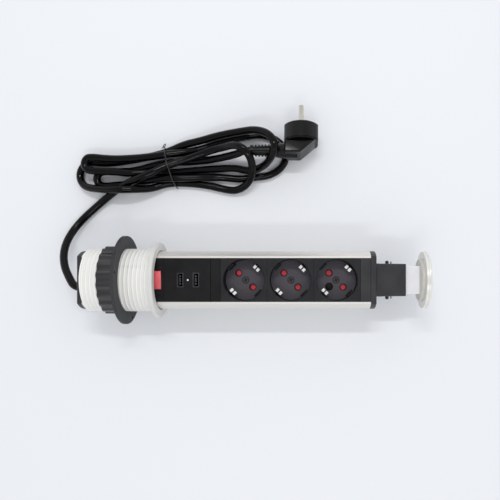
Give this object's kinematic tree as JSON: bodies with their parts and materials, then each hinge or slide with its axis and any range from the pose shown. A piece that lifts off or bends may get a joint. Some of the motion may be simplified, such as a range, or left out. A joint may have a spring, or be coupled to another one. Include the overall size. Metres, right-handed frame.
{
  "type": "pop up desk socket",
  "caption": "Round aluminium pop-up desk socket lying on its side, with earthed sockets, USB ports, a rocker switch, a clamp sleeve and a tied mains lead.",
  "frame": {"origin": "centre of the flange's underside, on the tower's axis", "axes": "+X out of the desk along the tower, +Z away from the table through the sockets, +Y towards the tied lead"},
  "size_m": [0.3592, 0.2146, 0.084],
  "materials": {
    "aluminium": "satin",
    "black_plastic": "matte",
    "board": "satin",
    "brass": "satin",
    "cord_skin": "gloss",
    "dark_plastic": "satin",
    "felt": "matte",
    "lens": "clear",
    "lid_grey": "satin",
    "moulded_grey": "satin",
    "pale_plastic": "satin",
    "panel_black": "matte",
    "red_plastic": "gloss",
    "steel": "satin",
    "washer_rubber": "matte",
    "wire_skin": "satin"
  },
  "bodies": {
    "sleeve": {"flanged_sleeve": "moulded_grey", "guide_rails": "dark_plastic", "brake_band": "felt"},
    "washer": {"clamp_washer": "washer_rubber"},
    "nut": {"clamp_nut": "black_plastic"},
    "tower": {"blank_panel": "panel_black", "bottom_cap": "dark_plastic", "cap_screws": "steel", "catch_wires": "steel", "contact_carrier": "pale_plastic", "cord_gland": "cord_skin", "cord_hank": "cord_skin", "cord_lead": "cord_skin", "cord_tie": "steel", "earth_busbar": "brass", "earth_clip_1": "steel", "earth_clip_2": "steel", "earth_clip_3": "steel", "inner_leads": "wire_skin", "live_busbar": "brass", "lower_spacer": "panel_black", "mains_plug": "cord_skin", "neck_tube": "dark_plastic", "neutral_busbar": "brass", "plug_earth_contacts": "steel", "plug_pins": "steel", "plug_strain_relief": "cord_skin", "socket_insert_1": "panel_black", "socket_insert_2": "panel_black", "socket_insert_3": "panel_black", "status_led": "lens", "switch_housing": "panel_black", "switch_panel": "panel_black", "switch_terminals": "brass", "terminal_block": "pale_plastic", "top_cap": "dark_plastic", "tower_profile": "aluminium", "upper_spacer": "panel_black", "usb_board": "board", "usb_capacitor": "aluminium", "usb_panel": "panel_black", "usb_port_1": "steel", "usb_port_2": "steel", "usb_tongues": "black_plastic", "usb_transformer": "black_plastic"},
    "rocker": {"rocker": "red_plastic"},
    "shutter_1": {"shutter_1": "red_plastic"},
    "shutter_2": {"shutter_2": "red_plastic"},
    "shutter_3": {"shutter_3": "red_plastic"},
    "lid": {"lid_cap": "aluminium", "lid_hub": "lid_grey", "lid_stem": "pale_plastic", "lid_spring": "steel"},
    "left_catch": {"catch_left": "black_plastic"},
    "right_catch": {"catch_right": "black_plastic"}
  },
  "joints": [
    {"name": "tower_slide", "type": "slide", "parent": "sleeve", "child": "tower", "axis": [1, 0, 0], "range_m": [-0.253, 0.01]},
    {"name": "washer_slide", "type": "slide", "parent": "sleeve", "child": "washer", "axis": [1, 0, 0], "range_m": [-0.014, 0.026]},
    {"name": "nut_turn", "type": "hinge", "parent": "washer", "child": "nut", "pos_m": [-0.04, 0, 0], "axis": [1, 0, 0], "range_deg": [-1320, 2450]},
    {"name": "rocker_rock", "type": "hinge", "parent": "tower", "child": "rocker", "pos_m": [0.002, 0, 0.0105], "axis": [1, 0, 0], "range_deg": [-14, 0]},
    {"name": "shutter_1_turn", "type": "hinge", "parent": "tower", "child": "shutter_1", "pos_m": [0.0841, 0, -0.0053], "axis": [0, 0, 1], "range_deg": [0, 45], "stiffness_Nm_per_rad": 0.002, "springref_deg": -5.73},
    {"name": "shutter_2_turn", "type": "hinge", "parent": "tower", "child": "shutter_2", "pos_m": [0.1273, 0, -0.0053], "axis": [0, 0, 1], "range_deg": [0, 45], "stiffness_Nm_per_rad": 0.002, "springref_deg": -5.73},
    {"name": "shutter_3_turn", "type": "hinge", "parent": "tower", "child": "shutter_3", "pos_m": [0.1705, 0, -0.0053], "axis": [0, 0, 1], "range_deg": [0, 45], "stiffness_Nm_per_rad": 0.002, "springref_deg": -5.73},
    {"name": "lid_press", "type": "slide", "parent": "tower", "child": "lid", "axis": [1, 0, 0], "range_m": [-0.013, 0], "stiffness_N_per_m": 200, "springref_m": 0.01, "deforming": ["lid_spring"]},
    {"name": "left_catch_press", "type": "slide", "parent": "tower", "child": "left_catch", "axis": [0, -1, 0], "range_m": [0, 0.0023], "stiffness_N_per_m": 300, "springref_m": -0.002},
    {"name": "right_catch_press", "type": "slide", "parent": "tower", "child": "right_catch", "axis": [0, 1, 0], "range_m": [0, 0.0023], "stiffness_N_per_m": 300, "springref_m": -0.002}
  ],
  "couplings": [
    {"joint": "washer_slide", "follows": "nut_turn", "m_per_rad": 0.000605}
  ]
}
